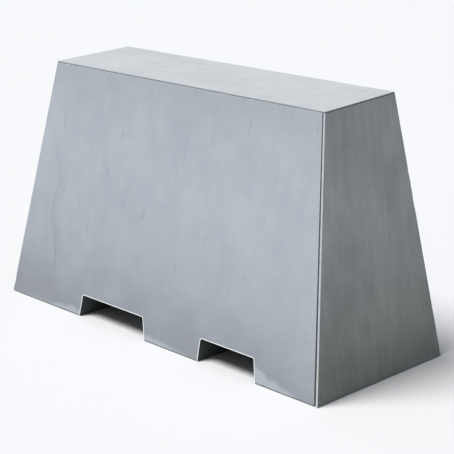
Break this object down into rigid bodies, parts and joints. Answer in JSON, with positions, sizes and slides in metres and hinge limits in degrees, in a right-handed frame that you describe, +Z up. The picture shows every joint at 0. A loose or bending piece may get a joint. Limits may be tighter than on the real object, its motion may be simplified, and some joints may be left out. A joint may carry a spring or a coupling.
{
  "type": "concrete barrier",
  "caption": "Tapered free-standing concrete vehicle barrier: a reinforced ballast core faced with thin cement boards, with fork pockets through its foot.",
  "frame": {"origin": "on the ground, under the middle of the block", "axes": "+X along the length towards the end whose facing board covers the corners, -Y towards the front, +Z up"},
  "size_m": [1.7308, 0.705, 1.0109],
  "materials": {
    "fibre_cement_board": "fair-faced, sealed, faint vertical streaks",
    "cast_concrete": "as struck from a steel mould",
    "black_coated_steel": "matt black powder coat",
    "foam_mounting_tape": "closed-cell foam",
    "polyurethane_adhesive": "cured, slightly glossy",
    "zinc_plated_steel": "zinc plated",
    "bitumen_painted_steel": "black bitumen paint, cut ends ground bright",
    "forged_steel": "dark forged skin",
    "galvanised_steel": "galvanised",
    "reinforcing_steel": "hot rolled, lightly rusted"
  },
  "bodies": {
    "root": {"back_adhesive_beads": "polyurethane_adhesive", "back_mounting_tapes": "foam_mounting_tape", "back_panel": "fibre_cement_board", "back_rail_1": "galvanised_steel", "back_rail_2": "galvanised_steel", "back_rail_3": "galvanised_steel", "back_rail_4": "galvanised_steel", "back_screws": "zinc_plated_steel", "ballast_core": "cast_concrete", "bottom_bars": "reinforcing_steel", "corner_profile_back_left": "black_coated_steel", "corner_profile_back_right": "black_coated_steel", "corner_profile_front_left": "black_coated_steel", "corner_profile_front_right": "black_coated_steel", "foot_bars": "reinforcing_steel", "front_adhesive_beads": "polyurethane_adhesive", "front_mounting_tapes": "foam_mounting_tape", "front_panel": "fibre_cement_board", "front_rail_1": "galvanised_steel", "front_rail_2": "galvanised_steel", "front_rail_3": "galvanised_steel", "front_rail_4": "galvanised_steel", "front_screws": "zinc_plated_steel", "left_end_adhesive_beads": "polyurethane_adhesive", "left_end_hairpins": "reinforcing_steel", "left_end_mounting_tapes": "foam_mounting_tape", "left_end_panel": "fibre_cement_board", "left_end_rail": "galvanised_steel", "left_end_screws": "zinc_plated_steel", "left_lifting_anchor": "forged_steel", "link_1": "reinforcing_steel", "link_2": "reinforcing_steel", "link_3": "reinforcing_steel", "link_4": "reinforcing_steel", "link_5": "reinforcing_steel", "link_6": "reinforcing_steel", "link_7": "reinforcing_steel", "narrow_fork_liner": "bitumen_painted_steel", "narrow_liner_studs": "forged_steel", "right_end_adhesive_beads": "polyurethane_adhesive", "right_end_hairpins": "reinforcing_steel", "right_end_mounting_tapes": "foam_mounting_tape", "right_end_panel": "fibre_cement_board", "right_end_rail": "galvanised_steel", "right_end_screws": "zinc_plated_steel", "right_lifting_anchor": "forged_steel", "side_bars": "reinforcing_steel", "top_adhesive_beads": "polyurethane_adhesive", "top_bars": "reinforcing_steel", "top_mounting_tapes": "foam_mounting_tape", "top_panel": "fibre_cement_board", "top_rail_1": "galvanised_steel", "top_rail_2": "galvanised_steel", "top_rail_3": "galvanised_steel", "top_rail_4": "galvanised_steel", "top_screws": "zinc_plated_steel", "wide_fork_liner": "bitumen_painted_steel", "wide_liner_studs": "forged_steel"}
  },
  "joints": []
}
